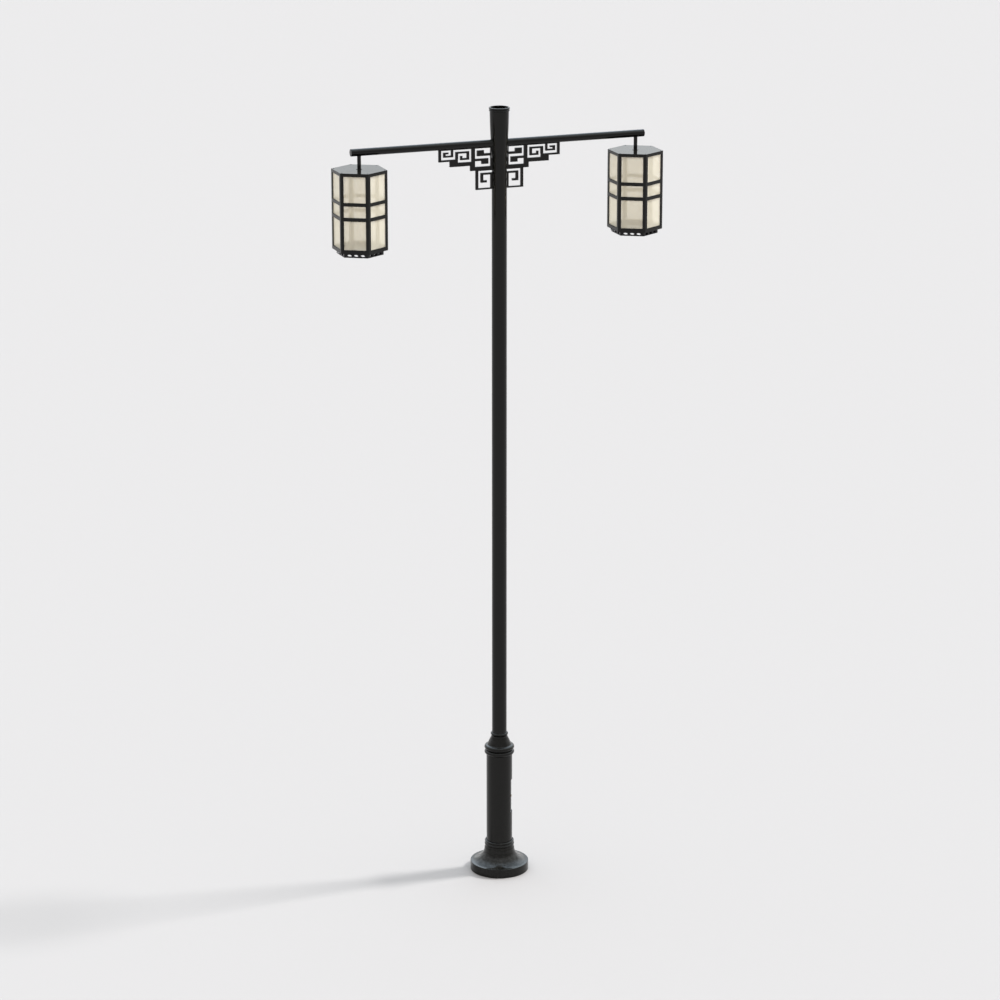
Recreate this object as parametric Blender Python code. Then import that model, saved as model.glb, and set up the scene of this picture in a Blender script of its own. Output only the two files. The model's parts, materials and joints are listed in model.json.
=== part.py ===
"""Street lamp post with two hexagonal lanterns hung from one cross arm.

Metres, +Z up, origin at the centre of the base on the ground, X along the cross arm.
The right lantern (+X) is modelled once; the left one is the same set turned half round about Z.
"""
import math

import bmesh
import bpy
from mathutils import Matrix, Vector

GAP = 0.0003            # clearance between two pieces that touch
WALL = 0.004            # wall of the pole, the head and the cover's neck
ROUND = 32              # sides of a round piece
BASE_SIDES = 40         # sides of the pieces around the column

# Base
BASE_R = 0.188
BASE_RIM_TOP = 0.058
BELL_FOOT, BELL_NECK = (0.182, 0.062), (0.0985, 0.1475)     # ends of the bell's concave sweep
BELL_TURN = 78.0        # degrees between the sweep's upright neck and its foot
COLLAR_BOTTOM, COLLAR_TOP = 0.150, 0.214
PLATE_R, PLATE_T = 0.150, 0.016
ANCHOR_CIRCLE_R = 0.118
ANCHOR_R = 0.010

# Column and its service opening (azimuths in degrees, from +X)
COLUMN_R, COLUMN_WALL = 0.0833, 0.0045
COLUMN_TOP = 0.795
OPENING_AZ = 50.0
OPENING_Z = (0.398, 0.622)
LEAF_R = (0.0749, 0.0779)
LEAF_AZ = (-47.0, 41.0)
LEAF_Z = (0.402, 0.618)
HINGE_R, HINGE_AZ = 0.0798, 44.0
KNUCKLE_R, PIN_R = 0.0038, 0.0020
LOCK_AZ, LOCK_Z = -38.0, 0.510

# Pole and head
POLE_R = 0.0472
POLE_BOTTOM, POLE_TOP = 0.712, 4.690
REDUCER_BOTTOM, REDUCER_TOP = COLUMN_TOP + GAP, 0.943
HEAD_TOP = 4.976
HEAD_FLARE = 0.0124     # how much wider the head's top is than the pole
RIM_R, RIM_IN_R = 0.0655, 0.0548
HEIGHT = 5.0

# Cross arm and fretwork
ARM_Z, ARM_R, ARM_WALL = 4.780, 0.0227, 0.003
ARM_END = 0.9595
CAP_T = 0.003
FRET_T = 0.014

# Lantern
LANTERN_X = 0.906
LANTERN_R = 0.1737      # corner radius of the hexagonal frame
FRAME_Z = (4.186, 4.6732)
FRAME_WALL = 0.005
ROOF_Z = (4.6735, 4.6765)
WINDOW_WIDTH = 0.138
WINDOWS_Z = ((4.205, 4.384), (4.404, 4.476), (4.495, 4.657))
PANE_T, PANE_WIDTH = 0.003, 0.163
PANE_Z = (4.1985, 4.6692)
ROD_R, ROD_BORE = 0.0118, 0.0075
FLOOR_Z = (4.1826, 4.1856)
FLOOR_APOTHEM = 0.149
SKIRT_R, SKIRT_WALL = 0.146, 0.018
SKIRT_Z = (4.155, 4.1823)
SKIRT_HOLE = (0.013, 0.007)     # half width and half height of one oval hole
SKIRT_HOLE_Z, SKIRT_HOLE_STEP = 4.167, 0.041
FLOOR_HINGE = (0.148, 4.179)    # distance from the lantern's axis, height
LATCH_X = 0.136
APOTHEM = math.cos(math.pi / 6)

COLOURS = {             # colour, roughness, metallic
    "black_paint": ((0.018, 0.018, 0.017), 0.30, 0.0),
    "galvanised_steel": ((0.45, 0.46, 0.47), 0.45, 0.9),
    "brass": ((0.55, 0.40, 0.15), 0.35, 1.0),
    "aluminium": ((0.62, 0.63, 0.64), 0.40, 0.9),
    "cream_pane": ((0.80, 0.74, 0.60), 0.35, 0.0),
    "led_white": ((0.85, 0.84, 0.80), 0.50, 0.0),
    "grey_plastic": ((0.20, 0.21, 0.22), 0.50, 0.0),
    "service_board": ((0.42, 0.36, 0.27), 0.70, 0.0),
}


# Helpers

def clear_scene():
    for old in list(bpy.data.objects):
        bpy.data.objects.remove(old, do_unlink=True)


def material(name):
    found = bpy.data.materials.get(name)
    if found:
        return found
    colour, roughness, metallic = COLOURS[name]
    made = bpy.data.materials.new(name)
    made.use_nodes = True
    shader = made.node_tree.nodes["Principled BSDF"]
    shader.inputs["Base Color"].default_value = (*colour, 1.0)
    shader.inputs["Roughness"].default_value = roughness
    shader.inputs["Metallic"].default_value = metallic
    return made


def solid(bm, name="shape", finish="black_paint"):
    """Turn a bmesh into an object with its faces pointing out."""
    bmesh.ops.remove_doubles(bm, verts=bm.verts, dist=1e-6)
    bmesh.ops.recalc_face_normals(bm, faces=bm.faces)
    mesh = bpy.data.meshes.new(name)
    bm.to_mesh(mesh)
    bm.free()
    mesh.materials.append(material(finish))
    mesh.shade_smooth()
    mesh.set_sharp_from_angle(angle=math.radians(30))
    made = bpy.data.objects.new(name, mesh)
    bpy.context.scene.collection.objects.link(made)
    return made


def turned(profile, name="shape", finish="black_paint", sides=ROUND, at=(0.0, 0.0)):
    """Turn a closed outline of (radius, height) points about a vertical axis."""
    bm = bmesh.new()
    rings = []
    for step in range(sides):
        angle = math.tau * step / sides
        rings.append([bm.verts.new((at[0] + r * math.cos(angle), at[1] + r * math.sin(angle), z))
                      for r, z in profile])
    for step, ring in enumerate(rings):
        after = rings[(step + 1) % sides]
        for i, (r, _) in enumerate(profile):
            j = (i + 1) % len(profile)
            if r > 0.0 or profile[j][0] > 0.0:
                bm.faces.new((ring[i], after[i], after[j], ring[j]))
    return solid(bm, name, finish)


def prism(outline, z0, z1, name="shape", finish="black_paint"):
    """Extrude an (x, y) outline from z0 to z1."""
    bm = bmesh.new()
    face = bm.faces.new([bm.verts.new((x, y, z0)) for x, y in outline])
    risen = bmesh.ops.extrude_face_region(bm, geom=[face])["geom"]
    lift = [item for item in risen if isinstance(item, bmesh.types.BMVert)]
    bmesh.ops.translate(bm, verts=lift, vec=(0.0, 0.0, z1 - z0))
    return solid(bm, name, finish)


def box(x, y, z, name="shape", finish="black_paint"):
    return prism([(x[0], y[0]), (x[1], y[0]), (x[1], y[1]), (x[0], y[1])], z[0], z[1], name, finish)


def rod(start, end, radius, name="shape", finish="black_paint", sides=16, stretch=1.0):
    """A round bar between two points; stretch widens it across, for an oval cutter."""
    bm = bmesh.new()
    along = Vector(end) - Vector(start)
    bmesh.ops.create_cone(bm, cap_ends=True, segments=sides, radius1=radius, radius2=radius,
                          depth=along.length)
    bmesh.ops.scale(bm, vec=(1.0, stretch, 1.0), verts=bm.verts)
    turn = along.to_track_quat("Z", "X").to_matrix().to_4x4()
    place = Matrix.Translation((Vector(start) + Vector(end)) / 2) @ turn
    bmesh.ops.transform(bm, matrix=place, verts=bm.verts)
    return solid(bm, name, finish)


def ring_points(radius, count, phase=0.0):
    return [(radius * math.cos(math.radians(phase) + math.tau * i / count),
             radius * math.sin(math.radians(phase) + math.tau * i / count)) for i in range(count)]


def polar(radius, azimuth):
    return radius * math.cos(math.radians(azimuth)), radius * math.sin(math.radians(azimuth))


def sector(radii, azimuths, z, name="shape", finish="black_paint", steps=8):
    """A slice of a tube wall between two radii and two azimuths."""
    fan = [azimuths[0] + (azimuths[1] - azimuths[0]) * i / steps for i in range(steps + 1)]
    outline = [polar(radii[1], a) for a in fan] + [polar(radii[0], a) for a in reversed(fan)]
    return prism(outline, z[0], z[1], name, finish)


def arc(centre, radius, start, end, steps):
    """Points on a circular arc in a turned profile, angles in degrees."""
    return [(centre[0] + radius * math.cos(math.radians(start + (end - start) * i / steps)),
             centre[1] + radius * math.sin(math.radians(start + (end - start) * i / steps)))
            for i in range(steps + 1)]


def bead(radius, z, half_height, steps=4):
    """The half-round outer side of a bead, from below to above."""
    return arc((radius - half_height, z), half_height, -90, 90, steps)


def combine(target, others, operation):
    """Apply a Boolean with each other shape, then remove those shapes."""
    for other in others:
        step = target.modifiers.new(operation, "BOOLEAN")
        step.operation = operation
        step.object = other
        step.solver = "EXACT"
        result = bpy.data.meshes.new_from_object(
            target.evaluated_get(bpy.context.evaluated_depsgraph_get()))
        target.modifiers.clear()
        target.data = result
        bpy.data.objects.remove(other, do_unlink=True)
    return target


def cut(target, *cutters):
    return combine(target, cutters, "DIFFERENCE")


def join(target, *others):
    return combine(target, others, "UNION")


# Base and column

def base_plate():
    plate = turned([(0.045, 0.0), (PLATE_R, 0.0), (PLATE_R, PLATE_T), (0.045, PLATE_T)],
                   "base_plate", "galvanised_steel")
    cut(plate, *[rod((x, y, -0.01), (x, y, 0.03), ANCHOR_R + 0.001)
                 for x, y in ring_points(ANCHOR_CIRCLE_R, 4, 45.0)])


def anchor_bolts():
    """Stud end, washer and hexagonal nut at each anchor hole."""
    for index, (x, y) in enumerate(ring_points(ANCHOR_CIRCLE_R, 4, 45.0)):
        stud = rod((x, y, 0.0005), (x, y, 0.050), ANCHOR_R, f"anchor_bolt_{index + 1}", "galvanised_steel")
        washer = rod((x, y, PLATE_T + GAP), (x, y, PLATE_T + 0.003), 0.019)
        nut = rod((x, y, PLATE_T + 0.0025), (x, y, PLATE_T + 0.019), 0.0173, sides=6)
        join(stud, washer, nut)


def bell_sweep(inset, steps):
    """Quarter ellipse from the bell's neck down to its foot, moved in and down by an inset."""
    turn = math.radians(BELL_TURN)
    wide = (BELL_FOOT[0] - BELL_NECK[0]) / (1.0 - math.cos(turn))
    tall = (BELL_NECK[1] - BELL_FOOT[1]) / math.sin(turn)
    angles = [turn * i / steps for i in range(steps + 1)]
    return [(BELL_NECK[0] + wide * (1.0 - math.cos(angle)) - inset,
             BELL_NECK[1] - tall * math.sin(angle) - inset) for angle in angles]


def base_cover():
    outer = [(BASE_R, 0.0), (BASE_R, BASE_RIM_TOP - 0.004), (BASE_R - 0.001, BASE_RIM_TOP - 0.001)]
    outer += [(0.1835, BASE_RIM_TOP)] + bell_sweep(0.0, 7)[::-1] + [(0.0958, COLLAR_BOTTOM - GAP)]
    inner = [(COLUMN_R + GAP, COLLAR_BOTTOM - GAP), (COLUMN_R + GAP, BELL_NECK[1] - 0.002)]
    inner += bell_sweep(0.005, 5) + [(0.181, BASE_RIM_TOP - 0.008), (0.181, 0.0)]
    turned(outer + inner, "base_cover", sides=BASE_SIDES)


def base_collar():
    bottom, top = COLLAR_BOTTOM, COLLAR_TOP
    outer = [(0.0950, bottom), (0.0946, 0.1560), (0.0930, 0.1610), (0.0930, 0.1640), (0.0957, 0.1720),
             (0.0957, 0.1780), (0.0944, 0.1920), (0.0918, 0.2030), (0.0885, 0.2055)]
    outer += [(0.0868, top - 0.006), (0.0850, top)]
    turned(outer + [(COLUMN_R + GAP, top), (COLUMN_R + GAP, bottom)],
           "base_collar", sides=BASE_SIDES)


def column():
    inner = COLUMN_R - COLUMN_WALL
    tube = turned([(inner, PLATE_T + GAP), (COLUMN_R, PLATE_T + GAP),
                   (COLUMN_R, COLUMN_TOP), (inner, COLUMN_TOP)], "column", sides=BASE_SIDES)
    cut(tube, sector((0.060, 0.100), (-OPENING_AZ, OPENING_AZ), OPENING_Z))


def door_frame():
    """Jamb and stop lip behind the opening, with two lugs for the hinge pin."""
    outer = COLUMN_R - COLUMN_WALL - 2 * GAP
    frame = sector((0.0713, outer), (-57, 57), (0.384, 0.636), "door_frame", "galvanised_steel", 12)
    cut(frame, sector((0.060, 0.084), (-44, 36), (0.408, 0.612)),
        sector((LEAF_R[0] - GAP, 0.084), (-OPENING_AZ, OPENING_AZ), OPENING_Z))
    axis = Vector((*polar(HINGE_R, HINGE_AZ), 0.0))
    root = Vector((*polar(0.0745, 52.5), 0.0))
    side = (root - axis).cross(Vector((0, 0, 1))).normalized() * 0.0012
    for z in (0.4555, 0.5545):
        web = [axis - side, root - side, root + side, axis + side]
        join(frame, prism([(p.x, p.y) for p in web], z, z + 0.010),
             rod((axis.x, axis.y, z), (axis.x, axis.y, z + 0.010), KNUCKLE_R))
    cut(frame, rod((axis.x, axis.y, 0.45), (axis.x, axis.y, 0.57), PIN_R + GAP))


def access_door():
    """Curved leaf with two knuckles on its hinge side and a hole for the lock."""
    leaf = sector(LEAF_R, LEAF_AZ, LEAF_Z, "access_door", steps=10)
    axis = Vector((*polar(HINGE_R, HINGE_AZ), 0.0))
    root = Vector((*polar(0.0764, 39.5), 0.0))
    side = (root - axis).cross(Vector((0, 0, 1))).normalized() * 0.0012
    for z in (0.425, 0.565):
        web = [axis - side, root - side, root + side, axis + side]
        join(leaf, prism([(p.x, p.y) for p in web], z, z + 0.030),
             rod((axis.x, axis.y, z), (axis.x, axis.y, z + 0.030), KNUCKLE_R))
    cut(leaf, rod((axis.x, axis.y, 0.40), (axis.x, axis.y, 0.62), PIN_R + GAP),
        rod((*polar(0.060, LOCK_AZ), LOCK_Z), (*polar(0.090, LOCK_AZ), LOCK_Z), 0.0050))


def door_hinge_pin():
    x, y = polar(HINGE_R, HINGE_AZ)
    rod((x, y, 0.420), (x, y, 0.600), PIN_R, "door_hinge_pin", "galvanised_steel")


def door_lock():
    """Head outside the leaf, barrel through it, cam pointing up inside it."""
    def on_axis(radius):
        return (*polar(radius, LOCK_AZ), LOCK_Z)
    barrel = rod(on_axis(0.0653), on_axis(0.0793), 0.0047, "door_lock", "brass")
    head = rod(on_axis(0.0782), on_axis(0.0807), 0.0080)
    key_way = rod(on_axis(0.0795), on_axis(0.0823), 0.0032, sides=3)
    cam = box((0.0653, 0.0683), (-0.005, 0.005), (LOCK_Z - 0.005, LOCK_Z + 0.016))
    cam.data.transform(Matrix.Rotation(math.radians(LOCK_AZ), 4, "Z"))
    cut(join(barrel, head, cam), key_way)


def service_equipment():
    """Backboard, fuse unit and earth stud inside the column."""
    box((-0.030, -0.024), (-0.0685, 0.0685), (0.330, 0.690), "backboard", "service_board")
    unit = box((-0.0237, 0.006), (-0.032, 0.032), (0.470, 0.600), "fuse_unit", "grey_plastic")
    for y in (-0.018, 0.018):
        join(unit, box((0.004, 0.016), (y - 0.010, y + 0.010), (0.525, 0.585)))
    join(unit, box((-0.0237, -0.004), (-0.024, 0.024), (0.440, 0.472)))
    stud = rod((-0.0237, 0.035, 0.400), (0.0, 0.035, 0.400), 0.0040, "earth_stud", "brass")
    join(stud, rod((-0.016, 0.035, 0.400), (-0.009, 0.035, 0.400), 0.0075, sides=6))


def seat_ring():
    """Ring inside the column that centres the pole's lower end."""
    turned([(POLE_R + GAP, 0.716), (COLUMN_R - COLUMN_WALL - GAP, 0.716),
            (COLUMN_R - COLUMN_WALL - GAP, 0.724), (POLE_R + GAP, 0.724)],
           "seat_ring", "galvanised_steel", BASE_SIDES)


# Pole, head and arm

def reducer():
    """Double bead, hollow cone and small bead between the column and the pole."""
    outer = [(0.086, REDUCER_BOTTOM)] + bead(0.0963, 0.8110, 0.0145) + bead(0.0963, 0.8440, 0.0145)
    outer += [(0.0768, 0.8630), (0.0743, 0.8670), (0.0520, 0.9160)]
    outer += bead(0.0562, 0.9340, 0.0085) + [(0.0487, REDUCER_TOP)]
    inner = [(POLE_R + GAP, REDUCER_TOP), (POLE_R + GAP, 0.9050), (0.0690, 0.8580), (0.0750, REDUCER_BOTTOM)]
    turned(outer + inner, "reducer")


def pole():
    turned([(POLE_R - WALL, POLE_BOTTOM), (POLE_R, POLE_BOTTOM),
            (POLE_R, POLE_TOP), (POLE_R - WALL, POLE_TOP)], "pole")


def joint_spigot():
    outer = POLE_R - WALL - GAP
    turned([(outer - WALL, 4.600), (outer, 4.600), (outer, 4.752), (outer - WALL, 4.752)],
           "joint_spigot", "galvanised_steel")


def head_radius(z):
    """The head widens quickly above the pole and grows upright towards the rim."""
    share = (z - POLE_TOP) / (HEAD_TOP - POLE_TOP)
    return POLE_R + HEAD_FLARE * (1.0 - (1.0 - share) ** 1.6)


def top_sleeve():
    bottom = POLE_TOP + GAP
    heights = [bottom + (HEAD_TOP - GAP - bottom) * i / 6 for i in range(7)]
    outer = [(head_radius(z), z) for z in heights]
    inner = [(head_radius(z) - WALL, z) for z in reversed(heights)]
    sleeve = turned(outer + inner, "top_sleeve")
    cut(sleeve, rod((-0.1, 0, ARM_Z), (0.1, 0, ARM_Z), ARM_R + GAP, sides=24))


def rim_ring():
    outer = [(0.0605, HEAD_TOP)] + bead(RIM_R - 0.0005, 4.9815, 0.0050) + bead(RIM_R, 4.9945, 0.0055)
    turned(outer + [(RIM_IN_R, HEIGHT), (RIM_IN_R, HEAD_TOP)], "rim_ring")


def top_plug():
    turned([(0.0, 4.925), (0.0538, 4.925), (0.0538, 4.929), (0.0, 4.929)], "top_plug", "grey_plastic")


def cross_arm():
    """One straight tube, with a cable hole over the pole and a hole for each hanger."""
    length = ARM_END - CAP_T - GAP
    arm = rod((-length, 0, ARM_Z), (length, 0, ARM_Z), ARM_R, "cross_arm", sides=24)
    cut(arm, rod((-1.1, 0, ARM_Z), (1.1, 0, ARM_Z), ARM_R - ARM_WALL, sides=24))
    cut(arm, *[rod((x, 0, 4.74), (x, 0, ARM_Z), ROD_R + GAP) for x in (-LANTERN_X, 0.0, LANTERN_X)])


def arm_cap():
    plug = rod((0.942, 0, ARM_Z), (ARM_END - CAP_T + 0.001, 0, ARM_Z), ARM_R - ARM_WALL - GAP,
               "arm_cap", sides=24)
    return join(plug, rod((ARM_END - CAP_T, 0, ARM_Z), (ARM_END, 0, ARM_Z), ARM_R, sides=24))


# Fretwork: rectangles in millimetres, (x from, x to, z from, z to), z counted from 4 m.

FRET_STEPS = ((47.5, 156, 496.5, 757), (47.5, 191.5, 616.5, 757), (47.5, 324.5, 649.5, 757),
              (47.5, 397, 683.5, 757))
FRET_WINDOWS = ((59.5, 160.5, 640.5, 753.5), (183.5, 272, 674.5, 753.5), (272, 380.5, 695.5, 753.5),
                (59.5, 139, 506.5, 613.5), (47.5, 59.5, 600.5, 613.5), (47.5, 52.7, 688, 757))
FRET_KEYS = (
    (59.5, 147, 705.5, 721.5), (102, 147, 721.5, 741.5),                            # upper S, pole side
    (73, 160.5, 675.5, 690.5), (73, 118.5, 655.5, 675.5),                           # upper S, outer side
    (270.5, 287.5, 695.5, 741.5), (198, 270.5, 729.5, 741.5), (198, 214, 688.5, 729.5),  # large spiral
    (214, 256.5, 688.5, 700.5), (242.5, 256.5, 700.5, 714.5),
    (302, 316, 710.5, 753.5), (316, 366.5, 710.5, 721.5), (351.5, 366.5, 721.5, 741.5),  # small spiral
    (332.5, 351.5, 730.5, 741.5),
    (59.5, 124, 587.5, 600.5), (106.5, 124, 539.5, 587.5), (83, 106.5, 539.5, 553.5),    # lower spiral
)


def inside(rectangles, x, z):
    return any(x0 < x < x1 and z0 < z < z1 for x0, x1, z0, z1 in rectangles)


def fretwork():
    """Flat-bar meander plate, made of the cells between all the rectangles' edges."""
    rectangles = FRET_STEPS + FRET_WINDOWS + FRET_KEYS
    xs = sorted({edge for r in rectangles for edge in r[:2]})
    zs = sorted({edge for r in rectangles for edge in r[2:]})
    bm = bmesh.new()
    grid = {}

    def corner(x, z):
        if (x, z) not in grid:
            grid[x, z] = bm.verts.new((x / 1000, -FRET_T / 2, 4.0 + z / 1000))
        return grid[x, z]

    for x0, x1 in zip(xs, xs[1:]):
        for z0, z1 in zip(zs, zs[1:]):
            x, z = (x0 + x1) / 2, (z0 + z1) / 2
            open_cell = inside(FRET_WINDOWS, x, z) and not inside(FRET_KEYS, x, z)
            if inside(FRET_STEPS, x, z) and not open_cell:
                bm.faces.new((corner(x0, z0), corner(x1, z0), corner(x1, z1), corner(x0, z1)))
    back = bmesh.ops.extrude_face_region(bm, geom=list(bm.faces))["geom"]
    moved = [item for item in back if isinstance(item, bmesh.types.BMVert)]
    bmesh.ops.translate(bm, verts=moved, vec=(0.0, FRET_T, 0.0))
    bmesh.ops.recalc_face_normals(bm, faces=bm.faces)
    bmesh.ops.dissolve_limit(bm, angle_limit=0.01, verts=bm.verts, edges=bm.edges)
    bmesh.ops.triangulate(bm, faces=bm.faces)
    return solid(bm, "fretwork")


# Lantern pieces, modelled on the +X side

def hexagon(corner_radius):
    return [(LANTERN_X + x, y) for x, y in ring_points(corner_radius, 6, 30.0)]


def hexagonal_tube(corner_radius, wall, z, name):
    tube = prism(hexagon(corner_radius), *z, name)
    inner = corner_radius - wall / APOTHEM
    return cut(tube, prism(hexagon(inner), z[0] - 0.01, z[1] + 0.01))


def turned_about_lantern(shape, angle):
    """Turn a shape about the lantern's own axis."""
    place = Matrix.Translation((LANTERN_X, 0, 0))
    shape.data.transform(place @ Matrix.Rotation(math.radians(angle), 4, "Z") @ place.inverted())
    return shape


def hanger():
    return turned([(ROD_BORE, 4.656), (ROD_R, 4.656), (ROD_R, 4.772), (ROD_BORE, 4.772)],
                  "hanger", sides=16, at=(LANTERN_X, 0))


def hanger_nut():
    nut = prism([(LANTERN_X + x, y) for x, y in ring_points(0.0205, 6)], 4.660, 4.6695,
                "hanger_nut", "galvanised_steel")
    return cut(nut, rod((LANTERN_X, 0, 4.65), (LANTERN_X, 0, 4.68), ROD_R + GAP))


def lantern_cap():
    plate = prism(hexagon(LANTERN_R), *ROOF_Z, "lantern_cap")
    return cut(plate, rod((LANTERN_X, 0, 4.66), (LANTERN_X, 0, 4.69), ROD_R + GAP))


def lantern_frame():
    """Hexagonal frame with three windows a side, hinge lugs and the latch's strike."""
    frame = hexagonal_tube(LANTERN_R, FRAME_WALL, FRAME_Z, "lantern_frame")
    for angle in (0, 60, 120):
        for z in WINDOWS_Z:
            window = box((LANTERN_X - 0.2, LANTERN_X + 0.2), (-WINDOW_WIDTH / 2, WINDOW_WIDTH / 2), z)
            cut(frame, turned_about_lantern(window, angle))
    x, z = LANTERN_X - FLOOR_HINGE[0], FLOOR_HINGE[1]
    for y in (-0.027, 0.019):
        join(frame, box((x - 0.0024, x + 0.0026), (y, y + 0.008), (z, 4.192)),
             rod((x, y, z), (x, y + 0.008, z), KNUCKLE_R + 0.0002))
    cut(frame, rod((x, -0.05, z), (x, 0.05, z), PIN_R + GAP))
    strike = LANTERN_X + LANTERN_R * APOTHEM - 0.002
    join(frame, box((strike - 0.018, strike), (-0.022, -0.008), (4.1905, 4.1955)))
    return frame


def pane(index):
    """One flat pane behind a face of the frame."""
    outer = LANTERN_R * APOTHEM - FRAME_WALL - GAP
    sheet = box((LANTERN_X + outer - PANE_T, LANTERN_X + outer), (-PANE_WIDTH / 2, PANE_WIDTH / 2),
                PANE_Z, f"pane_{index + 1}", "cream_pane")
    return turned_about_lantern(sheet, 60 * index)


def lamp_tray():
    """Shallow pan, open downwards, clamped under the roof plate."""
    centre = (LANTERN_X, 0)
    return turned([(ROD_R + GAP, 4.6700), (0.102, 4.6700), (0.102, 4.6400), (0.105, 4.6400),
                   (0.105, 4.6732), (ROD_R + GAP, 4.6732)], "lamp_tray", "aluminium", 24, centre)


def led_module():
    return turned([(0.0, 4.6340), (0.080, 4.6340), (0.092, 4.6410), (0.1015, 4.6410),
                   (0.1015, 4.6500), (0.0, 4.6500)], "led_module", "led_white", 24, (LANTERN_X, 0))


def lantern_floor():
    """Closed plate under the frame, with its knuckle and the hole for the latch."""
    plate = prism(hexagon(FLOOR_APOTHEM / APOTHEM), *FLOOR_Z, "lantern_floor")
    x, z = LANTERN_X - FLOOR_HINGE[0], FLOOR_HINGE[1]
    cut(plate, box((x - 0.02, x + 0.008), (-0.029, 0.029), (4.17, 4.19)))
    join(plate, box((x, x + 0.012), (-0.018, 0.018), (z - 0.0015, FLOOR_Z[1])),
         rod((x, -0.018, z), (x, 0.018, z), KNUCKLE_R + 0.0002))
    latch_x = LANTERN_X + LATCH_X
    return cut(plate, rod((x, -0.05, z), (x, 0.05, z), PIN_R + GAP),
               rod((latch_x, 0, 4.17), (latch_x, 0, 4.20), 0.0053))


def skirt():
    """Hexagonal ring under the floor, with three oval holes a side."""
    ring = hexagonal_tube(SKIRT_R, SKIRT_WALL, SKIRT_Z, "skirt")
    half_width, half_height = SKIRT_HOLE
    for angle in (0, 60, 120):
        for step in (-1, 0, 1):
            y = step * SKIRT_HOLE_STEP
            hole = rod((LANTERN_X - 0.2, y, SKIRT_HOLE_Z), (LANTERN_X + 0.2, y, SKIRT_HOLE_Z),
                       half_height, sides=12, stretch=half_width / half_height)
            cut(ring, turned_about_lantern(hole, angle))
    return ring


def floor_hinge_pin():
    x, z = LANTERN_X - FLOOR_HINGE[0], FLOOR_HINGE[1]
    return rod((x, -0.030, z), (x, 0.030, z), PIN_R, "floor_hinge_pin", "galvanised_steel")


def floor_latch():
    """Knob under the floor, barrel through it, tongue above it pointing inwards."""
    x = LANTERN_X + LATCH_X
    barrel = rod((x, 0, 4.174), (x, 0, 4.199), 0.0050, "floor_latch", "galvanised_steel")
    knob = rod((x, 0, 4.172), (x, 0, 4.1823), 0.0080)
    tongue = box((x - 0.018, x + 0.004), (-0.004, 0.004), (4.196, 4.199))
    return join(barrel, knob, tongue)


def both_sides():
    """Name each shape for the right side and turn a copy half round for the left."""
    shapes = [arm_cap(), fretwork(), hanger(), hanger_nut(), lantern_cap(), lantern_frame(),
              lamp_tray(), led_module(), lantern_floor(), skirt(), floor_hinge_pin(), floor_latch()]
    shapes += [pane(index) for index in range(6)]
    for shape in shapes:
        plain = shape.name
        shape.name = f"{plain}_right"
        twin = bpy.data.objects.new(f"{plain}_left", shape.data)
        twin.rotation_euler.z = math.pi
        bpy.context.scene.collection.objects.link(twin)


def main():
    clear_scene()
    for make in (base_plate, anchor_bolts, base_cover, base_collar, column, door_frame, access_door,
                 door_hinge_pin, door_lock, service_equipment, seat_ring, reducer, pole, joint_spigot,
                 top_sleeve, rim_ring, top_plug, cross_arm, both_sides):
        make()


main()
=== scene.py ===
import json
import math

import bmesh
import bpy
from mathutils import Matrix, Vector, noise


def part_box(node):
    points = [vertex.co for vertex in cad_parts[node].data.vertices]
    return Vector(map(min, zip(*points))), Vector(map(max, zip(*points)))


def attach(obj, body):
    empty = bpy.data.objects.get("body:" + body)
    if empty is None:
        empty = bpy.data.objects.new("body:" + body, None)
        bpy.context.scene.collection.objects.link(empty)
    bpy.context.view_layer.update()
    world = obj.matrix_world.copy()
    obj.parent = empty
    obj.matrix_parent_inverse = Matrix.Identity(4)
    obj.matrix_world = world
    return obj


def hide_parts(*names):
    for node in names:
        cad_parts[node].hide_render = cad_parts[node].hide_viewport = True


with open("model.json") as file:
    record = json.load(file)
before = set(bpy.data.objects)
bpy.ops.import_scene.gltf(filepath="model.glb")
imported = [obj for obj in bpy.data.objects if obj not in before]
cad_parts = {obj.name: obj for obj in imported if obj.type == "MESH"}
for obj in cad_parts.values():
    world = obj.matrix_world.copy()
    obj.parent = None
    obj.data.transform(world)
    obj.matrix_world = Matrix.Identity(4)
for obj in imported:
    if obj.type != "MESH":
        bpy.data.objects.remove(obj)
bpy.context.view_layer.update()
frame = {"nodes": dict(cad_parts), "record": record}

RECORD = frame["record"]
BODY_OF = {node: body for body, nodes in RECORD["behaviour"]["bodies"].items() for node in nodes}
SLOT_OF = {entry["node"]: entry["material_slot"] for entry in RECORD["subparts"]}

SIDES = (("left", -1), ("right", 1))
FINE = 128              # sides of a round piece
GAP = 0.0003            # clearance that the CAD keeps between two pieces

# Sizes in metres, the same as the CAD's
POLE_R, POLE_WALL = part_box("pole")[1].x, 0.004
COLUMN_R, COLUMN_WALL = -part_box("column")[0].x, 0.0045
OPENING_AZ, OPENING_Z = 50.0, (0.398, 0.622)    # degrees to each side of +X, heights
HEAD_Z, HEAD_FLARE = (4.690, 4.976), 0.0124
ARM_Z, ARM_R, ARM_WALL = 4.780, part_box("cross_arm")[1].y, 0.003
ROD_R, ROD_BORE = 0.0118, 0.0075                # hanger tube
LANTERN_X, LANTERN_R = 0.906, 0.1737            # axis, corner radius of the hexagonal frame
FRAME_WALL, SKIRT_WALL = 0.005, 0.018

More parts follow.
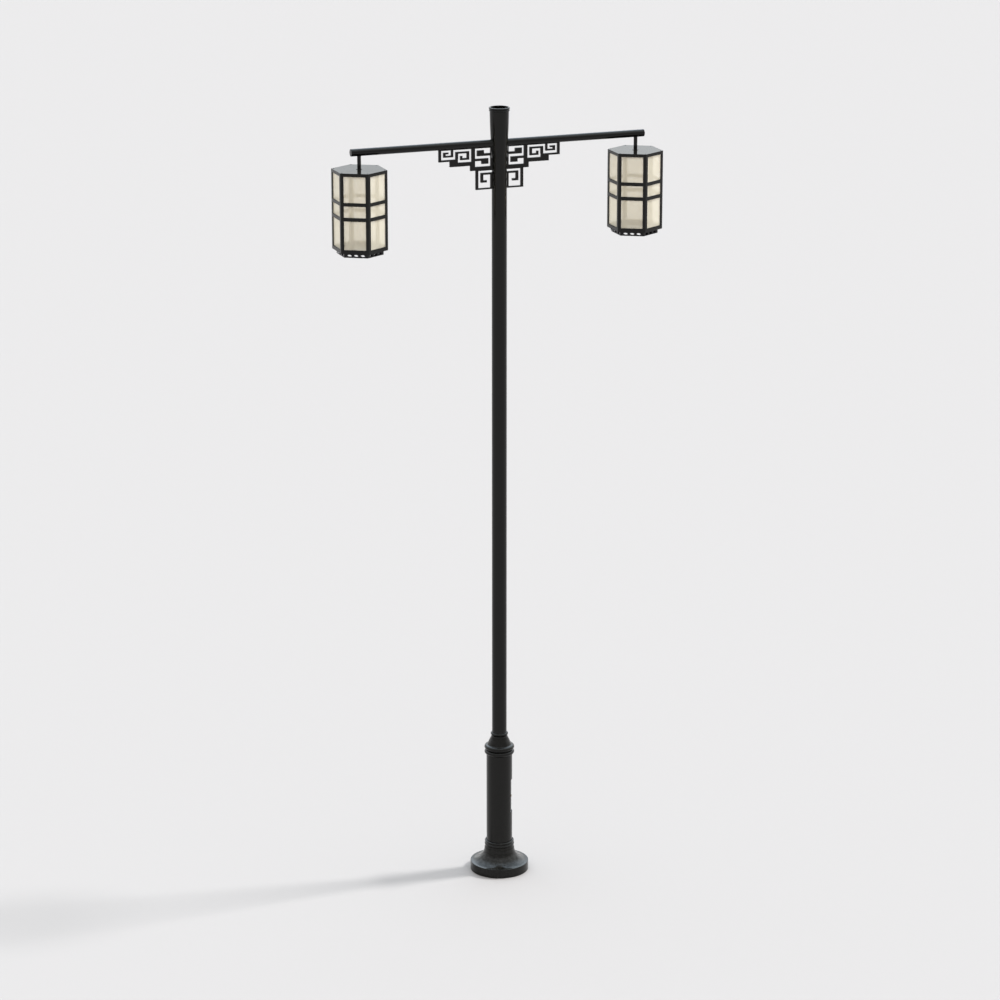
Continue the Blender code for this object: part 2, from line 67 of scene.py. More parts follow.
# Camera and light
CAMERA_AT = (-7.329, -19.327, 8.580)
CAMERA_TILT, CAMERA_TURN = 73.603, -20.779      # degrees
CAMERA_LENS, SENSOR = 122.82, 36.0
SUN_HEIGHT, SUN_AZIMUTH = 48.0, -3.4            # degrees above the ground, degrees from +X
SUN_STRENGTH, SUN_SPREAD = 3.30, 8.2
SUN_COLOUR = (0.97, 1.02, 1.06)
SKY_LEAN = (0.1775, 0.4675, 0.866)              # the bright part of the sky is centred here
SKY_STOPS = ((0.0, (0.44, 0.44, 0.44)), (0.53, (0.44, 0.44, 0.44)), (0.70, (0.95, 0.97, 0.985)),
             (0.84, (0.875, 0.910, 0.925)), (0.92, (1.44, 1.62, 1.78)), (1.0, (1.74, 2.08, 2.40)))
SKY_STRENGTH = 1.50
FLOOR_COLOUR = (0.3560, 0.3275, 0.3110)


# Nodes of a material

class Nodes:
    """Short calls for building a material's node tree round its Principled shader."""

    def __init__(self, name):
        self.material = bpy.data.materials.new(name)
        self.material.use_nodes = True
        self.tree = self.material.node_tree
        self.shader = self.tree.nodes["Principled BSDF"]
        self.place = self.add("ShaderNodeTexCoord").outputs["Object"]

    def add(self, kind, inputs=None, **settings):
        node = self.tree.nodes.new(kind)
        for key, value in settings.items():
            setattr(node, key, value)
        for key, value in (inputs or {}).items():
            self.feed(node.inputs[key], value)
        return node

    def feed(self, socket, value):
        if isinstance(value, bpy.types.NodeSocket):
            self.tree.links.new(value, socket)
        else:
            socket.default_value = value

    def set(self, **values):
        for key, value in values.items():
            self.feed(self.shader.inputs[key.replace("_", " ")], value)

    def noise(self, scale, detail=3.0, roughness=0.5, stretch=(1, 1, 1)):
        spread = self.add("ShaderNodeMapping", {"Vector": self.place, "Scale": stretch}).outputs[0]
        made = self.add("ShaderNodeTexNoise", {"Vector": spread, "Scale": scale, "Detail": detail,
                                               "Roughness": roughness})
        return made.outputs["Fac"]

    def span(self, value, low, high, to_low, to_high):
        made = self.add("ShaderNodeMapRange", {"Value": value, "From Min": low, "From Max": high,
                                               "To Min": to_low, "To Max": to_high})
        made.clamp = True
        return made.outputs["Result"]

    def times(self, a, b):
        return self.add("ShaderNodeMath", {0: a, 1: b}, operation="MULTIPLY").outputs[0]

    def mix(self, factor, a, b):
        made = self.add("ShaderNodeMix", data_type="RGBA")
        self.feed(made.inputs[0], factor)
        self.feed(made.inputs[6], a)
        self.feed(made.inputs[7], b)
        return made.outputs[2]

    def bump(self, height, distance, strength=1.0, below=None):
        made = self.add("ShaderNodeBump", {"Height": height, "Distance": distance,
                                           "Strength": strength})
        if below is not None:
            self.feed(made.inputs["Normal"], below)
        return made.outputs["Normal"]

    def facing_up(self):
        """1 on a surface that faces the sky, 0 on an upright or hanging one."""
        normal = self.add("ShaderNodeNewGeometry").outputs["Normal"]
        up = self.add("ShaderNodeSeparateXYZ", {"Vector": normal}).outputs["Z"]
        return self.span(up, 0.25, 0.95, 0.0, 1.0)

    def height(self):
        return self.add("ShaderNodeSeparateXYZ", {"Vector": self.place}).outputs["Z"]


def grey(value, tint=(1.0, 1.0, 1.0)):
    return (value * tint[0], value * tint[1], value * tint[2], 1.0)


# Materials

def black_paint():
    """Glossy powder coat: orange peel, faint handling marks, thin dust where it faces up."""
    made = Nodes("black_paint")
    peel = made.noise(420.0, 2.0)
    waves = made.noise(26.0, 3.0)
    smears = made.noise(9.0, 5.0, 0.65, (1.0, 1.0, 0.35))
    dust = made.times(made.facing_up(),
                      made.span(made.noise(34.0, 6.0, 0.7), 0.42, 0.78, 0.0, 0.04))
    near_ground = made.span(made.height(), 0.02, 0.9, 0.045, 0.0)
    soil = made.times(near_ground, made.span(made.noise(60.0, 5.0, 0.7), 0.40, 0.75, 0.0, 1.0))
    base = made.mix(made.span(smears, 0.3, 0.7, 0.0, 1.0), grey(0.0018, (1.10, 1.0, 0.70)),
                    grey(0.0032, (1.10, 1.0, 0.70)))
    dusty = made.mix(dust, base, grey(0.30, (1.0, 0.97, 0.90)))
    made.set(Base_Color=made.mix(soil, dusty, grey(0.22, (1.0, 0.93, 0.80))))
    made.set(Roughness=made.span(smears, 0.30, 0.72, 0.10, 0.16))
    made.set(IOR=1.33)
    made.set(Normal=made.bump(peel, 0.00006, 0.25, made.bump(waves, 0.0003, 0.12)))
    return made.material


def worked_metal(name, colour, roughness, blotch):
    """Bare or plated metal with uneven tone and fine scratches."""
    made = Nodes(name)
    patches = made.noise(70.0, 4.0, 0.6)
    scratches = made.noise(900.0, 2.0, 0.5, (1.0, 1.0, 0.05))
    darker = tuple(channel * blotch for channel in colour)
    tone = made.span(patches, 0.35, 0.65, 0.0, 1.0)
    made.set(Base_Color=made.mix(tone, (*darker, 1.0), (*colour, 1.0)), Metallic=1.0)
    made.set(Roughness=made.span(patches, 0.3, 0.7, roughness - 0.08, roughness + 0.10))
    made.set(Normal=made.bump(scratches, 0.00004, 0.4))
    return made.material


def cream_pane():
    """Cream sheet, half see-through over its two faces, faintly cloudy."""
    made = Nodes("cream_pane")
    cloud = made.noise(7.0, 4.0, 0.55)
    grain = made.noise(600.0, 2.0)
    made.set(Base_Color=made.mix(made.span(cloud, 0.3, 0.7, 0.0, 1.0),
                                 (0.915, 0.835, 0.666, 1.0), (0.950, 0.868, 0.698, 1.0)))
    made.set(Roughness=made.span(cloud, 0.3, 0.7, 0.44, 0.52), IOR=1.49, Alpha=0.38)
    made.set(Normal=made.bump(grain, 0.00003, 0.4))
    return made.material


def moulded(name, colour, roughness=0.5):
    """Moulded plastic with a fine spark-eroded grain."""
    made = Nodes(name)
    grain = made.noise(850.0, 3.0)
    tone = made.noise(14.0, 3.0)
    darker = tuple(channel * 0.88 for channel in colour)
    made.set(Base_Color=made.mix(tone, (*darker, 1.0), (*colour, 1.0)))
    made.set(Roughness=made.span(tone, 0.3, 0.7, roughness - 0.06, roughness + 0.06))
    made.set(Normal=made.bump(grain, 0.00005, 0.5))
    return made.material


def service_board():
    """Resin-bonded board with a streaky grain along its height."""
    made = Nodes("service_board")
    streaks = made.noise(60.0, 5.0, 0.6, (1.0, 1.0, 0.06))
    made.set(Base_Color=made.mix(made.span(streaks, 0.3, 0.7, 0.0, 1.0),
                                 (0.30, 0.21, 0.12, 1.0), (0.44, 0.33, 0.20, 1.0)))
    made.set(Roughness=0.62, Normal=made.bump(streaks, 0.0002, 0.4))
    return made.material


def led_white():
    """Opal lens over the light source."""
    made = Nodes("led_white")
    frost = made.noise(500.0, 2.0)
    made.set(Base_Color=made.mix(frost, (0.80, 0.79, 0.75, 1.0), (0.86, 0.85, 0.82, 1.0)))
    made.set(Roughness=0.35, IOR=1.49, Normal=made.bump(frost, 0.00003, 0.4))
    return made.material


def rubber():
    """Black window seal with fine pores."""
    made = Nodes("seal_rubber")
    pores = made.noise(700.0, 3.0)
    made.set(Base_Color=made.mix(pores, grey(0.012), grey(0.022)), Roughness=0.75)
    made.set(Normal=made.bump(pores, 0.00006, 0.5))
    return made.material


FINISHES = {
    "black_paint": black_paint(),
    "galvanised_steel": worked_metal("galvanised_steel", (0.50, 0.51, 0.52), 0.42, 0.72),
    "brass": worked_metal("brass", (0.22, 0.165, 0.085), 0.42, 0.55),
    "aluminium": worked_metal("aluminium", (0.66, 0.67, 0.68), 0.38, 0.88),
    "cream_pane": cream_pane(),
    "led_white": led_white(),
    "grey_plastic": moulded("grey_plastic", (0.16, 0.17, 0.18)),
    "service_board": service_board(),
    "rubber": rubber(),
}


# Shapes

def piece(name, bm, body, finish, replaces=(), sharp=32.0):
    """Make the bmesh a piece that rides on a body and takes a finish."""
    bmesh.ops.recalc_face_normals(bm, faces=bm.faces)
    mesh = bpy.data.meshes.new(name)
    bm.to_mesh(mesh)
    bm.free()
    mesh.shade_smooth()
    mesh.set_sharp_from_angle(angle=math.radians(sharp))
    made = bpy.data.objects.new(name, mesh)
    bpy.context.scene.collection.objects.link(made)
    mesh.materials.append(FINISHES[finish])
    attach(made, body)
    if replaces:
        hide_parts(*replaces)
    return made


def casting(name, bm, *replaces):
    """Make the bmesh a black piece of the post."""
    return piece(name, bm, "post", "black_paint", replaces)


def bevelled(made, width, segments=2, angle=35.0):
    """Round off the sharp edges of a piece."""
    step = made.modifiers.new("edges", "BEVEL")
    step.width, step.segments = width, segments
    step.limit_method, step.angle_limit = "ANGLE", math.radians(angle)
    step.harden_normals = True
    return made


def turned(profile, at=(0.0, 0.0), sides=FINE):
    """Turn a closed (radius, height) outline about a vertical axis."""
    bm = bmesh.new()
    rings = []
    for step in range(sides):
        angle = math.tau * step / sides
        rings.append([bm.verts.new((at[0] + r * math.cos(angle), at[1] + r * math.sin(angle), z))
                      for r, z in profile])
    for step, ring in enumerate(rings):
        after = rings[(step + 1) % sides]
        for i, (r, _) in enumerate(profile):
            j = (i + 1) % len(profile)
            if r > 0.0 or profile[j][0] > 0.0:
                bm.faces.new((ring[i], after[i], after[j], ring[j]))
    bmesh.ops.remove_doubles(bm, verts=bm.verts, dist=1e-6)
    return bm


def ring_of(radius, count, at=(0.0, 0.0), first=0.0):
    """(x, y) of evenly spaced points on a circle; first is the first one's azimuth in degrees."""
    angles = [math.radians(first) + math.tau * k / count for k in range(count)]
    return [(at[0] + radius * math.cos(angle), at[1] + radius * math.sin(angle))
            for angle in angles]


def band(bm, below, above):
    """Join two loops of the same length by a closed band of faces."""
    for k in range(len(below)):
        k2 = (k + 1) % len(below)
        bm.faces.new((below[k], below[k2], above[k2], above[k]))


def along_x(bm, at):
    """Lay a shape turned about Z along +X, with its own origin moved to a point."""
    bmesh.ops.transform(bm, matrix=Matrix.Translation(at) @ Matrix.Rotation(math.pi / 2, 4, "Y"),
                        verts=bm.verts)
    return bm


def arc(centre, radius, start, end, steps):
    return [(centre[0] + radius * math.cos(math.radians(start + (end - start) * i / steps)),
             centre[1] + radius * math.sin(math.radians(start + (end - start) * i / steps)))
            for i in range(steps + 1)]


def bead(radius, z, half_height):
    """The half-round outer side of a bead, from below to above."""
    return arc((radius - half_height, z), half_height, -90, 90, 14)


def refined(node, width, segments=2):
    """The CAD shape of a flat-sided node with its flat faces rejoined and its edges rounded."""
    bm = bmesh.new()
    bm.from_mesh(frame["nodes"][node].data)
    bmesh.ops.remove_doubles(bm, verts=bm.verts, dist=2e-6)
    bmesh.ops.dissolve_limit(bm, angle_limit=math.radians(0.5), verts=bm.verts, edges=bm.edges)
    made = piece(f"{node}_shell", bm, BODY_OF[node], SLOT_OF[node], [node])
    return bevelled(made, width, segments)


def tube_along(points, radius, closed=False, sides=10, wobble=0.0):
    """A mesh tube through points; wobble makes the uneven thickness of a weld."""
    bm = bmesh.new()
    count = len(points)
    rings = []
    for i, point in enumerate(points):
        before, after = points[(i - 1) % count], points[(i + 1) % count]
        if not closed:
            before, after = points[max(i - 1, 0)], points[min(i + 1, count - 1)]
        along = (after - before).normalized()
        side = along.cross(Vector((0.31, 0.17, 0.94))).normalized()
        up = side.cross(along)
        size = radius * (1.0 + wobble * math.sin(i * 2.1) * noise.noise(point * 90.0))
        rings.append([bm.verts.new(point + size * (side * math.cos(math.tau * k / sides)
                                                   + up * math.sin(math.tau * k / sides)))
                      for k in range(sides)])
    for i in range(count if closed else count - 1):
        band(bm, rings[i], rings[(i + 1) % count])
    if not closed:
        bm.faces.new(rings[0])
        bm.faces.new(rings[-1])
    return bm


def merged(shapes):
    """Put several bmeshes into one."""
    whole = bmesh.new()
    for shape in shapes:
        holder = bpy.data.meshes.new("part")
        shape.to_mesh(holder)
        shape.free()
        whole.from_mesh(holder)
        bpy.data.meshes.remove(holder)
    return whole


# Base, column and pole

def bell_sweep(inset, steps):
    """Quarter ellipse from the bell's neck down to its foot, moved in and down by an inset."""
    foot, neck, turn = (0.170, 0.0600), (0.0965, 0.1495), math.radians(67)
    wide = (foot[0] - neck[0]) / (1.0 - math.cos(turn))
    tall = (neck[1] - foot[1]) / math.sin(turn)
    angles = [turn * i / steps for i in range(steps + 1)]
    return [(neck[0] + wide * (1.0 - math.cos(angle)) - inset,
             neck[1] - tall * math.sin(angle) - inset) for angle in angles]


def base_cover():
    """Bell that sweeps out to a rim with a rounded edge."""
    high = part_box("base_cover")[1]
    rim_r, rim_top, lip = high.x, 0.0595, 0.0025
    outer = [(rim_r - 0.0015, 0.0), (rim_r, 0.0015)]
    outer += arc((rim_r - lip, rim_top - lip), lip, 0, 90, 8)
    outer += bell_sweep(0.0, 40)[::-1] + [(0.0964, high.z)]
    inner = [(COLUMN_R + GAP, high.z), (COLUMN_R + GAP, 0.1455)]
    inner += bell_sweep(0.005, 24) + [(0.176, 0.0540), (0.181, 0.050), (0.181, 0.0)]
    casting("base_cover_shell", turned(outer + inner), "base_cover")


def base_collar():
    """Two beads over a waist that runs out into the bell, with a joint groove at the column."""
    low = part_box("base_collar")[0]
    top, groove = 0.2031, (0.0866, 0.1975)
    outer = [(0.0963, low.z), (0.0952, 0.1535), (0.0940, 0.1570), (0.0931, 0.1605),
             (0.0927, 0.1635)]
    outer += arc((0.0873, 0.1755), 0.0085, -60, 60, 12)
    outer += arc((groove[0], 0.1955), 0.0076, -60, 90, 14)
    outer += [(groove[0] - 0.0002, top - 0.0002), (groove[0] - 0.0004, groove[1])]
    profile = outer + [(COLUMN_R + GAP, groove[1]), (COLUMN_R + GAP, low.z)]
    casting("base_collar_shell", turned(profile), "base_collar")


def cylinder_wall(inner, outer, z_rows, azimuths, is_open):
    """A tube wall on a grid of heights and azimuths (degrees), leaving out the open cells."""
    bm = bmesh.new()
    count = len(azimuths)
    grid = {}
    for which, radius in ((0, inner), (1, outer)):
        for i, azimuth in enumerate(azimuths):
            for j, z in enumerate(z_rows):
                grid[which, i, j] = bm.verts.new((radius * math.cos(math.radians(azimuth)),
                                                  radius * math.sin(math.radians(azimuth)), z))

    def solid(i, j):
        return 0 <= j < len(z_rows) - 1 and not is_open(i % count, j)

    for i in range(count):
        for j in range(len(z_rows) - 1):
            if not solid(i, j):
                continue
            i2, j2 = (i + 1) % count, j + 1
            corners = ((i, j), (i2, j), (i2, j2), (i, j2))
            for which in (0, 1):
                bm.faces.new([grid[which, *corner] for corner in corners])
            edges = (((i, j), (i, j2), i - 1, j), ((i2, j), (i2, j2), i + 1, j),
                     ((i, j), (i2, j), i, j - 1), ((i, j2), (i2, j2), i, j + 1))
            for a, b, next_i, next_j in edges:
                if not solid(next_i, next_j):
                    bm.faces.new((grid[(0, *a)], grid[(0, *b)], grid[(1, *b)], grid[(1, *a)]))
    bmesh.ops.delete(bm, geom=[v for v in bm.verts if not v.link_faces], context="VERTS")
    return bm


def column():
    """Tube with the service opening, gridded in steps across the opening and round the rest."""
    low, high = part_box("column")
    across, around = 40, 100
    azimuths = [-OPENING_AZ + 2 * OPENING_AZ * i / across for i in range(across + 1)]
    azimuths += [OPENING_AZ + (360 - 2 * OPENING_AZ) * i / around for i in range(1, around)]
    rows = [low.z, 0.25, *OPENING_Z, 0.72, high.z]
    opening_row = rows.index(OPENING_Z[0])
    wall = cylinder_wall(COLUMN_R - COLUMN_WALL, COLUMN_R, rows, azimuths,
                         lambda i, j: i < across and j == opening_row)
    bevelled(casting("column_tube", wall, "column"), 0.0010, 3, 60.0)


def reducer():
    low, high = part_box("reducer")
    outer = [(COLUMN_R, low.z), (COLUMN_R + 0.0004, low.z + 0.0006)]
    outer += bead(high.x, 0.8110, 0.0145) + bead(high.x, 0.8440, 0.0145)
    outer += arc((0.0800, 0.8632), 0.0040, 250, 205, 8)
    outer += [(0.0743, 0.8690), (0.0632, 0.8925), (0.0525, 0.9155)]
    outer += arc((0.0550, 0.9200), 0.0034, 225, 130, 8)
    outer += bead(0.0562, 0.9340, 0.0082) + [(0.0492, 0.9425), (0.0487, high.z)]
    inner = [(POLE_R + GAP, high.z), (POLE_R + GAP, 0.905), (0.069, 0.858), (0.075, low.z)]
    casting("reducer_casting", turned(outer + inner), "reducer")


def pole():
    low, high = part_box("pole")
    heights = [low.z + (high.z - low.z) * i / 12 for i in range(13)]
    profile = [(POLE_R, z) for z in heights] + [(POLE_R - POLE_WALL, z) for z in reversed(heights)]
    casting("pole_tube", turned(profile), "pole")


def head_radius(z):
    """The head widens quickly above the pole and grows upright towards the rim."""
    share = min(max((z - HEAD_Z[0]) / (HEAD_Z[1] - HEAD_Z[0]), 0.0), 1.0)
    return POLE_R + HEAD_FLARE * (1.0 - (1.0 - share) ** 1.6)


def top_sleeve():
    low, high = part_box("top_sleeve")
    heights = [low.z + (high.z - low.z) * i / 40 for i in range(41)]
    profile = [(head_radius(z), z) for z in heights]
    profile += [(head_radius(z) - POLE_WALL, z) for z in reversed(heights)]
    made = casting("head_casting", turned(profile), "top_sleeve")
    hole = ARM_R + GAP
    bar = turned([(0.0, -0.1), (hole, -0.1), (hole, 0.1), (0.0, 0.1)], sides=96)
    cut_by(made, along_x(bar, (0, 0, arm_height())))


def cut_by(made, bm):
    """Cut a piece by a shape and keep the result as its mesh."""
    bmesh.ops.recalc_face_normals(bm, faces=bm.faces)
    mesh = bpy.data.meshes.new("cutter")
    bm.to_mesh(mesh)
    bm.free()
    cutter = bpy.data.objects.new("cutter", mesh)
    bpy.context.scene.collection.objects.link(cutter)
    step = made.modifiers.new("cut", "BOOLEAN")
    step.operation, step.object, step.solver = "DIFFERENCE", cutter, "EXACT"
    found = made.evaluated_get(bpy.context.evaluated_depsgraph_get())
    result = bpy.data.meshes.new_from_object(found)
    made.modifiers.remove(step)
    made.data = result
    result.shade_smooth()
    result.set_sharp_from_angle(angle=math.radians(32))
    bpy.data.objects.remove(cutter, do_unlink=True)


def rim_ring():
    low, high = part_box("rim_ring")
    outer = [(0.0605, low.z)] + bead(high.x - 0.0005, 4.9815, 0.0050) + bead(high.x, 4.9945, 0.0055)
    inner = arc((0.0568, high.z - 0.002), 0.002, 90, 180, 6) + [(0.0548, low.z)]
    casting("rim_beads", turned(outer + inner), "rim_ring")


# Cross arm, hangers and fretwork

def arm_height():
    low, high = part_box("cross_arm")
    return (low.z + high.z) / 2


def cross_arm():
    half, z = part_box("cross_arm")[1].x, arm_height()
    stations = [-half + 2 * half * i / 16 for i in range(17)]
    profile = [(ARM_R, x) for x in stations] + [(ARM_R - ARM_WALL, x) for x in reversed(stations)]
    made = casting("cross_arm_tube", along_x(turned(profile, sides=96), (0, 0, z)), "cross_arm")
    hole, below = ROD_R + GAP, ARM_Z - 0.04
    for x in (-LANTERN_X, 0.0, LANTERN_X):
        cut_by(made, turned([(0.0, below), (hole, below), (hole, z), (0.0, z)], (x, 0), 48))


def arm_caps():
    for side, sign in SIDES:
        low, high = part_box(f"arm_cap_{side}")
        z, radius, length = (low.z + high.z) / 2, high.y, high.x - low.x
        core, edge, flange = radius - 0.0033, 0.0012, 0.003
        profile = [(0.0, 0.0), (core - 0.0003, 0.0), (core, 0.0004), (core, length - flange),
                   (radius, length - flange)]
        profile += arc((radius - edge, length - edge), edge, 0, 90, 6) + [(0.0, length)]
        plug = turned(profile, sides=96)
        inner_end = low.x if sign > 0 else high.x
        place = Matrix.Translation((inner_end, 0, z)) @ Matrix.Rotation(math.pi / 2 * sign, 4, "Y")
        bmesh.ops.transform(plug, matrix=place, verts=plug.verts)
        casting(f"arm_plug_{side}", plug, f"arm_cap_{side}")


def hangers():
    """Threaded hanger tube with a washer on the roof plate."""
    for side, _ in SIDES:
        low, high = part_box(f"hanger_{side}")
        centre = ((low.x + high.x) / 2, 0)
        profile = [(ROD_BORE, low.z), (ROD_R - 0.0005, low.z), (ROD_R, low.z + 0.0005),
                   (ROD_R, high.z), (ROD_BORE, high.z)]
        casting(f"hanger_tube_{side}", turned(profile, centre, 64), f"hanger_{side}")
        roof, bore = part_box(f"lantern_cap_{side}")[1].z, ROD_R + 0.0002
        washer = [(bore, roof + GAP), (0.0180, roof + GAP), (0.0185, roof + 0.0008),
                  (0.0180, roof + 0.0020), (bore, roof + 0.0020)]
        casting(f"hanger_washer_{side}", turned(washer, centre, 64))


def fretwork():
    for side, _ in SIDES:
        refined(f"fretwork_{side}", 0.0008)


# Lanterns

def screw(x, y, z):
    """Button-head screw standing on a face at height z, with a hexagonal socket."""
    bm = bmesh.new()
    radius, height, socket, count = 0.0032, 0.0014, 0.0014, 24
    rings = [(radius, 0.0), (radius, height * 0.35), (radius * 0.86, height * 0.78),
             (radius * 0.60, height)]
    loops = [[bm.verts.new((*spot, z + h)) for spot in ring_of(r, count, (x, y))] for r, h in rings]
    hexagon = [(x + hex_reach(k) * dx, y + hex_reach(k) * dy)
               for k, (dx, dy) in enumerate(ring_of(socket, count))]
    loops += [[bm.verts.new((*spot, z + h)) for spot in hexagon] for h in (height, height * 0.3)]
    for below, above in zip(loops, loops[1:]):
        band(bm, below, above)
    bm.faces.new(loops[0])
    bm.faces.new(loops[-1])
    return bm


def hex_reach(k):
    """How far a hexagon reaches at the k-th of 24 directions, with flats at distance 1."""
    return 1.0 / math.cos(((k % 4) - 2) * math.tau / 24)


def lantern_shells():
    for side, _ in SIDES:
        refined(f"lantern_frame_{side}", 0.0010)
        refined(f"lantern_cap_{side}", 0.0008)
        refined(f"lantern_floor_{side}", 0.0005)
        for index in range(1, 7):
            refined(f"pane_{index}_{side}", 0.0006)


def turned_round(bm, centre_x, angle):
    """Turn a shape about a lantern's axis by an angle in degrees."""
    place = Matrix.Translation((centre_x, 0, 0))
    turn = place @ Matrix.Rotation(math.radians(angle), 4, "Z") @ place.inverted()
    bmesh.ops.transform(bm, matrix=turn, verts=bm.verts)
    return bm


def seal_strip(centre_x, z0, z1):
    """Rubber strip round one window of the side that faces +X."""
    half, lip, depth = 0.069, 0.0016, 0.0012
    face = LANTERN_R * math.cos(math.pi / 6) - FRAME_WALL
    outer = [(-half, z0), (half, z0), (half, z1), (-half, z1)]
    inner = [(-half + lip, z0 + lip), (half - lip, z0 + lip), (half - lip, z1 - lip),
             (-half + lip, z1 - lip)]
    bm = bmesh.new()
    loops = [[bm.verts.new((centre_x + x, y, z)) for y, z in loop]
             for x in (face - 0.0001, face + depth) for loop in (outer, inner)]
    back_out, back_in, front_out, front_in = loops
    for a, b in ((back_out, back_in), (front_out, front_in), (back_out, front_out),
                 (back_in, front_in)):
        band(bm, a, b)
    return bm


def pane_seals():
    """A thin rubber strip round each window, between the frame and its pane."""
    windows = ((4.205, 4.384), (4.404, 4.476), (4.495, 4.657))
    for side, sign in SIDES:
        centre_x = sign * LANTERN_X
        strips = [turned_round(seal_strip(centre_x, *window), centre_x, 60 * index)
                  for index in range(6) for window in windows]
        piece(f"pane_seals_{side}", merged(strips), "post", "rubber")


def roof_screws():
    for side, sign in SIDES:
        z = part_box(f"lantern_cap_{side}")[1].z + 0.00005
        heads = [screw(x, y, z) for x, y in ring_of(0.158, 6, (sign * LANTERN_X, 0.0), 30.0)]
        casting(f"roof_screws_{side}", merged(heads))


def skirts():
    """Perforated hexagonal ring with smooth oval holes."""
    half_width, half_height, hole_z, pitch = 0.013, 0.007, 4.167, 0.041
    corner = 0.146
    inner = corner - SKIRT_WALL / math.cos(math.pi / 6)
    for side, sign in SIDES:
        low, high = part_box(f"skirt_{side}")
        centre_x = sign * LANTERN_X
        bm = bmesh.new()
        loops = [[bm.verts.new((*spot, z)) for spot in ring_of(r, 6, (centre_x, 0.0), 30.0)]
                 for r, z in ((corner, low.z), (corner, high.z), (inner, high.z), (inner, low.z))]
        for a, b in zip(loops, loops[1:] + loops[:1]):
            band(bm, a, b)
        made = piece(f"skirt_ring_{side}", bm, f"floor_{side}", "black_paint", [f"skirt_{side}"])
        for angle in (0, 60, 120):
            for step in (-1, 0, 1):
                hole = turned([(0.0, -0.2), (1.0, -0.2), (1.0, 0.2), (0.0, 0.2)], sides=36)
                bmesh.ops.scale(hole, vec=(half_height, half_width, 1.0), verts=hole.verts)
                along_x(hole, (centre_x, step * pitch, hole_z))
                cut_by(made, turned_round(hole, centre_x, angle))
        bevelled(made, 0.0004, 2, 40.0)


# Service door and small parts

def access_door():
    refined("access_door", 0.0006)
    refined("door_frame", 0.0004, 1)
    refined("door_lock", 0.0003)


def small_parts():
    for node in ("backboard", "fuse_unit"):
        refined(node, 0.0008)
    for index in range(1, 5):
        refined(f"anchor_bolt_{index}", 0.0005, 1)
    for side, _ in SIDES:
        refined(f"floor_latch_{side}", 0.0004)
        refined(f"hanger_nut_{side}", 0.0005, 1)


# Welds

def arm_welds():
    """Fillet weld round the arm where it enters the head on each side."""
    for side, sign in SIDES:
        points = []
        for y, z in ring_of(ARM_R + 0.0006, 72, (0.0, arm_height())):
            points.append(Vector((sign * (math.sqrt(head_radius(z) ** 2 - y * y) + 0.0006), y, z)))
        casting(f"arm_weld_{side}", tube_along(points, 0.0022, True, 10, 0.35))


def fretwork_welds():
    """Short tack welds along the fretwork's top edge and its pole edge."""
    half_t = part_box("fretwork_right")[1].y
    top = ARM_Z - math.sqrt(ARM_R ** 2 - half_t ** 2)
    pole_side = math.sqrt(POLE_R ** 2 - half_t ** 2) + 0.0004
    steps = [0.003 * i for i in range(-3, 4)]
    for side, sign in SIDES:
        tacks = []
        for y in (-half_t, half_t):
            for x in (0.085, 0.170, 0.245, 0.310, 0.388):
                tacks.append([Vector((sign * (x + step), y, top)) for step in steps])
            for z in (4.515, 4.575, 4.628, 4.668):
                tacks.append([Vector((sign * pole_side, y, z + step)) for step in steps])
        beads = [tube_along(points, 0.0014, False, 8, 0.3) for points in tacks]
        casting(f"fretwork_welds_{side}", merged(beads))


def ring_weld(name, radius, z, thickness, wobble):
    points = [Vector((x, y, z)) for x, y in ring_of(radius, 96)]
    casting(name, tube_along(points, thickness, True, 8, wobble))


def joint_welds():
    """Ground-down ring welds: reducer to pole, pole to head, hangers to arm."""
    ring_weld("pole_weld", POLE_R + 0.0005, 0.9435, 0.0014, 0.25)
    ring_weld("head_weld", POLE_R - 0.0001, 4.6902, 0.0006, 0.3)
    for side, sign in SIDES:
        ring = [Vector((x, y, ARM_Z - math.sqrt(ARM_R ** 2 - y ** 2) - 0.0004))
                for x, y in ring_of(ROD_R + 0.0004, 48, (sign * LANTERN_X, 0.0))]
        casting(f"hanger_weld_{side}", tube_along(ring, 0.0012, True, 8, 0.3))


def main():
    for node, shape in frame["nodes"].items():
        shape.data.materials.clear()
        shape.data.materials.append(FINISHES[SLOT_OF[node]])
    for make in (base_cover, base_collar, column, reducer, pole, top_sleeve, rim_ring, cross_arm,
                 arm_caps, hangers, fretwork, lantern_shells, pane_seals, roof_screws, skirts,
                 access_door, small_parts, arm_welds, fretwork_welds, joint_welds):
        make()


# Stage

def floor():
    bm = bmesh.new()
    bmesh.ops.create_grid(bm, x_segments=1, y_segments=1, size=150.0)
    mesh = bpy.data.meshes.new("floor")
    bm.to_mesh(mesh)
    bm.free()
    made = bpy.data.objects.new("floor", mesh)
    bpy.context.scene.collection.objects.link(made)
    paint = bpy.data.materials.new("floor")
    paint.use_nodes = True
    shader = paint.node_tree.nodes["Principled BSDF"]
    shader.inputs["Base Color"].default_value = (*FLOOR_COLOUR, 1.0)
    shader.inputs["Roughness"].default_value = 1.0
    shader.inputs["Specular IOR Level"].default_value = 0.0
    mesh.materials.append(paint)


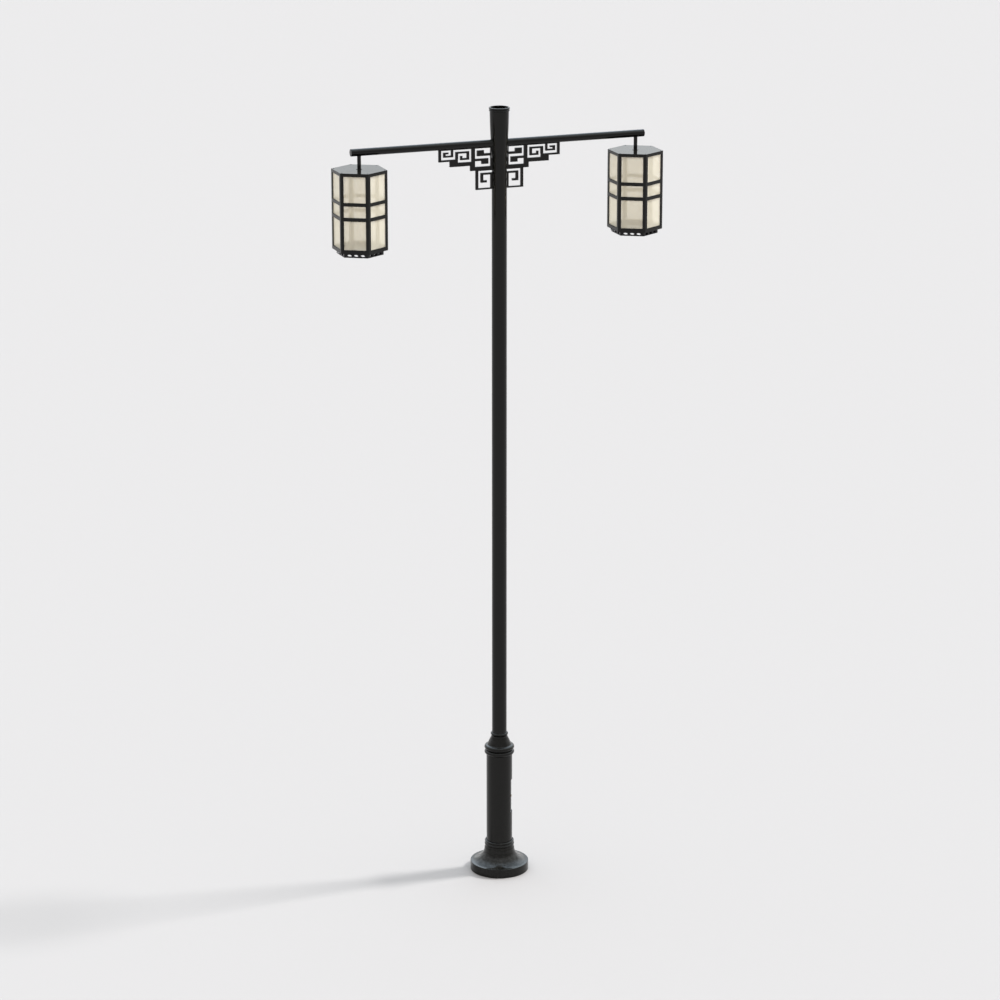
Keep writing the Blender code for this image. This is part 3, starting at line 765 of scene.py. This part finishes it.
def sky():
    """Brighter overhead and behind the post than on the camera's side, with soft clouds."""
    world = bpy.data.worlds.new("sky")
    bpy.context.scene.world = world
    world.use_nodes = True
    nodes, links = world.node_tree.nodes, world.node_tree.links
    direction = nodes.new("ShaderNodeTexCoord").outputs["Generated"]
    lean = nodes.new("ShaderNodeVectorMath")
    lean.operation = "DOT_PRODUCT"
    lean.inputs[1].default_value = SKY_LEAN
    links.new(direction, lean.inputs[0])
    lift = nodes.new("ShaderNodeMapRange")
    lift.inputs["From Min"].default_value = -1.0
    links.new(lean.outputs["Value"], lift.inputs["Value"])
    ramp = nodes.new("ShaderNodeValToRGB")
    links.new(lift.outputs["Result"], ramp.inputs["Fac"])
    elements = ramp.color_ramp.elements
    while len(elements) < len(SKY_STOPS):
        elements.new(0.5)
    for element, (position, colour) in zip(elements, SKY_STOPS):
        element.position = position
        element.color = (*colour, 1.0)
    clouds = nodes.new("ShaderNodeTexNoise")
    clouds.inputs["Scale"].default_value = 5.0
    clouds.inputs["Detail"].default_value = 3.0
    links.new(direction, clouds.inputs["Vector"])
    strength = nodes.new("ShaderNodeMapRange")
    strength.inputs["From Min"].default_value = 0.35
    strength.inputs["From Max"].default_value = 0.65
    strength.inputs["To Min"].default_value = SKY_STRENGTH * 0.7
    strength.inputs["To Max"].default_value = SKY_STRENGTH * 1.3
    links.new(clouds.outputs["Fac"], strength.inputs["Value"])
    links.new(strength.outputs["Result"], nodes["Background"].inputs["Strength"])
    links.new(ramp.outputs["Color"], nodes["Background"].inputs["Color"])


def sun():
    light = bpy.data.lights.new("sun", "SUN")
    light.energy, light.angle = SUN_STRENGTH, math.radians(SUN_SPREAD)
    light.color = SUN_COLOUR
    made = bpy.data.objects.new("sun", light)
    height, azimuth = math.radians(SUN_HEIGHT), math.radians(SUN_AZIMUTH)
    towards = Vector((math.cos(height) * math.cos(azimuth), math.cos(height) * math.sin(azimuth),
                      math.sin(height)))
    made.rotation_euler = towards.to_track_quat("Z", "Y").to_euler()
    made.location = towards * 12.0
    made.visible_glossy = False
    bpy.context.scene.collection.objects.link(made)


def camera():
    lens = bpy.data.cameras.new("camera")
    lens.lens, lens.sensor_width = CAMERA_LENS, SENSOR
    lens.clip_end = 500.0
    made = bpy.data.objects.new("camera", lens)
    made.location = CAMERA_AT
    made.rotation_euler = (math.radians(CAMERA_TILT), 0.0, math.radians(CAMERA_TURN))
    bpy.context.scene.collection.objects.link(made)
    bpy.context.scene.camera = made


main()
floor()
sky()
sun()
camera()
bpy.context.scene.view_settings.view_transform = "Standard"
